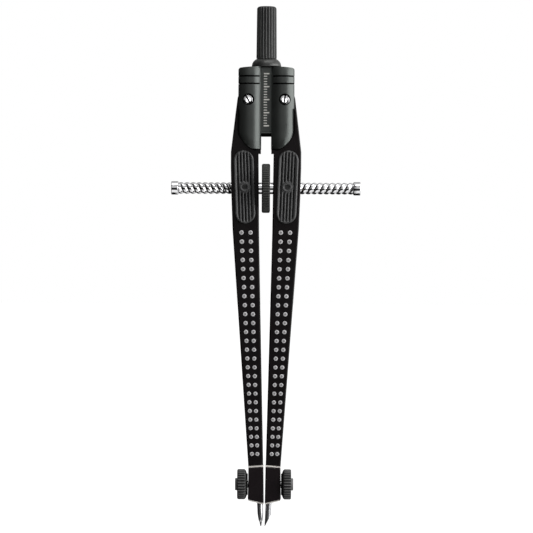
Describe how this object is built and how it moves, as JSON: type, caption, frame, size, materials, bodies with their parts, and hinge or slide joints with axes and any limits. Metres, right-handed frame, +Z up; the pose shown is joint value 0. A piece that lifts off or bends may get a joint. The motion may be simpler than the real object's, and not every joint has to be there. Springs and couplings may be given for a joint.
{
  "type": "drawing compass",
  "caption": "Quick-set drawing compass with a geared head, two tapered legs, a threaded centre spindle with a setting wheel, and clamped needle and lead points.",
  "frame": {"origin": "midway between the needle tip and the lead tip, on the plane both tips touch, legs closed", "axes": "+Z up from the tips to the handle, X along the spindle with the needle leg at -X and the lead leg at +X, front of the head at -Y"},
  "size_m": [0.0654, 0.017, 0.18],
  "materials": {
    "handle_plastic": "satin dark grey moulding",
    "cover_lacquer": "dark grey metallic lacquer, satin",
    "leg_lacquer": "near-black satin lacquer",
    "pad_rubber": "matt dark grey",
    "wheel_plastic": "black, knurled",
    "knob_plastic": "dark grey, knurled",
    "chuck_plastic": "near-black satin",
    "chrome": "polished",
    "nickel": "satin nickel",
    "steel": "turned",
    "brass": "turned",
    "graphite": "graphite with a slight shine"
  },
  "bodies": {
    "head": {"handle_grip": "handle_plastic", "handle_collar": "handle_plastic", "handle_stem": "steel", "head_bridge": "steel", "head_front_cover": "cover_lacquer", "head_rear_cover": "cover_lacquer", "left_pivot_screw": "chrome", "right_pivot_screw": "chrome", "left_pivot_sleeve": "brass", "right_pivot_sleeve": "brass"},
    "left_leg": {"left_leg": "leg_lacquer", "left_front_pad": "pad_rubber", "left_rear_pad": "pad_rubber", "left_chuck": "nickel", "left_chuck_sleeve": "chuck_plastic", "left_chuck_pin": "steel"},
    "left_nut": {"left_spindle_nut": "brass"},
    "left_slug": {"left_clamp_slug": "brass"},
    "left_knob": {"left_clamp_screw": "steel", "left_clamp_knob": "knob_plastic"},
    "right_leg": {"right_leg": "leg_lacquer", "right_front_pad": "pad_rubber", "right_rear_pad": "pad_rubber", "right_chuck": "nickel", "right_chuck_sleeve": "chuck_plastic", "right_chuck_pin": "steel"},
    "right_nut": {"right_spindle_nut": "brass"},
    "right_slug": {"right_clamp_slug": "brass"},
    "right_knob": {"right_clamp_screw": "steel", "right_clamp_knob": "knob_plastic"},
    "stop_collars": {"left_stop_collar": "chrome", "right_stop_collar": "chrome"},
    "spindle": {"spindle": "chrome", "spindle_wheel": "wheel_plastic"},
    "needle": {"needle": "steel"},
    "lead": {"lead": "graphite"}
  },
  "joints": [
    {"name": "left_leg_swing", "type": "hinge", "parent": "head", "child": "left_leg", "pos_m": [-0.0063, 0, 0.1475], "axis": [0, 1, 0], "range_deg": [0, 40]},
    {"name": "right_leg_swing", "type": "hinge", "parent": "head", "child": "right_leg", "pos_m": [0.0063, 0, 0.1475], "axis": [0, -1, 0], "range_deg": [0, 40]},
    {"name": "left_nut_swivel", "type": "hinge", "parent": "left_leg", "child": "left_nut", "pos_m": [-0.0074, 0, 0.11706], "axis": [0, -1, 0], "range_deg": [0, 40]},
    {"name": "right_nut_swivel", "type": "hinge", "parent": "right_leg", "child": "right_nut", "pos_m": [0.0074, 0, 0.11706], "axis": [0, 1, 0], "range_deg": [0, 40]},
    {"name": "spindle_travel", "type": "slide", "parent": "left_nut", "child": "stop_collars", "axis": [1, 0, 0], "range_m": [0, 0.0196]},
    {"name": "wheel_spin", "type": "hinge", "parent": "stop_collars", "child": "spindle", "pos_m": [0, 0, 0.11706], "axis": [1, 0, 0], "range_deg": [0, 1680]},
    {"name": "left_clamp_travel", "type": "slide", "parent": "left_leg", "child": "left_slug", "axis": [-1, 0, 0], "range_m": [0, 0.001]},
    {"name": "left_clamp_turn", "type": "hinge", "parent": "left_slug", "child": "left_knob", "pos_m": [0, 0, 0.01457], "axis": [-1, 0, 0], "range_deg": [0, 722]},
    {"name": "right_clamp_travel", "type": "slide", "parent": "right_leg", "child": "right_slug", "axis": [1, 0, 0], "range_m": [0, 0.001]},
    {"name": "right_clamp_turn", "type": "hinge", "parent": "right_slug", "child": "right_knob", "pos_m": [0, 0, 0.01457], "axis": [1, 0, 0], "range_deg": [0, 722]},
    {"name": "needle_slide", "type": "slide", "parent": "left_leg", "child": "needle", "axis": [0.0445, 0, -0.999], "range_m": [-0.0004, 0.012]},
    {"name": "lead_slide", "type": "slide", "parent": "right_leg", "child": "lead", "axis": [-0.0445, 0, -0.999], "range_m": [-0.0004, 0.012]}
  ],
  "couplings": [
    {"joint": "right_leg_swing", "follows": "left_leg_swing", "ratio": 1},
    {"joint": "left_nut_swivel", "follows": "left_leg_swing", "ratio": 1},
    {"joint": "right_nut_swivel", "follows": "left_leg_swing", "ratio": 1},
    {"joint": "spindle_travel", "follows": "left_leg_swing", "m_per_rad": 0.02797},
    {"joint": "wheel_spin", "follows": "left_leg_swing", "ratio": 41.843},
    {"joint": "left_clamp_turn", "follows": "left_clamp_travel", "rad_per_m": 12566},
    {"joint": "right_clamp_turn", "follows": "right_clamp_travel", "rad_per_m": 12566}
  ]
}
